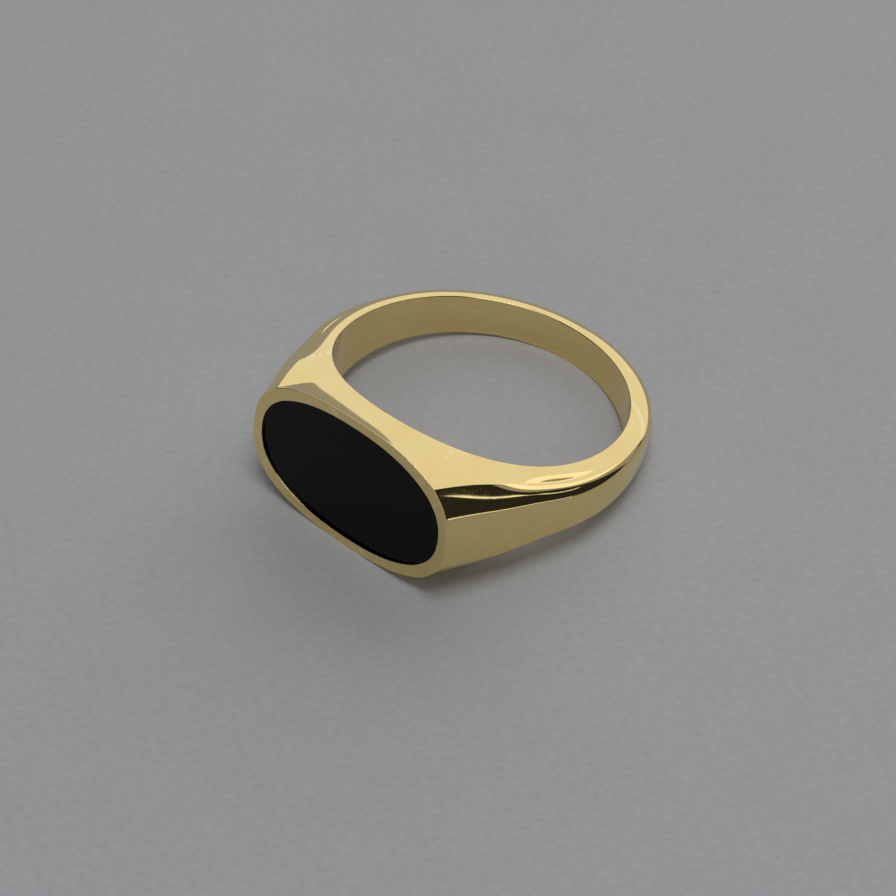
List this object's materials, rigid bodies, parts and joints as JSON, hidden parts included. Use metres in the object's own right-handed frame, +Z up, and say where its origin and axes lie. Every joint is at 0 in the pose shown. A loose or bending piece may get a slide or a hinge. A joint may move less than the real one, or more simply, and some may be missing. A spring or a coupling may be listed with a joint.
{
  "type": "signet ring",
  "caption": "Oval signet ring in polished yellow gold with a flat black tablet let into its head, lying on its side.",
  "frame": {"origin": "on the surface that the ring lies on, under the middle of its bounding box", "axes": "+Z up from that surface, +X towards the head, Y along the oval head; the finger axis leans back from +Z by the small tilt of the ring as it lies"},
  "size_m": [0.0231, 0.022, 0.0091],
  "materials": {
    "polished_gold": "high polish, fine handling scratches",
    "black_onyx": "flat lapped and polished stone",
    "adhesive": "cured epoxy, hidden under the tablet"
  },
  "bodies": {
    "root": {"ring_body": "polished_gold", "onyx_tablet": "black_onyx", "adhesive_bed": "adhesive"}
  },
  "joints": []
}
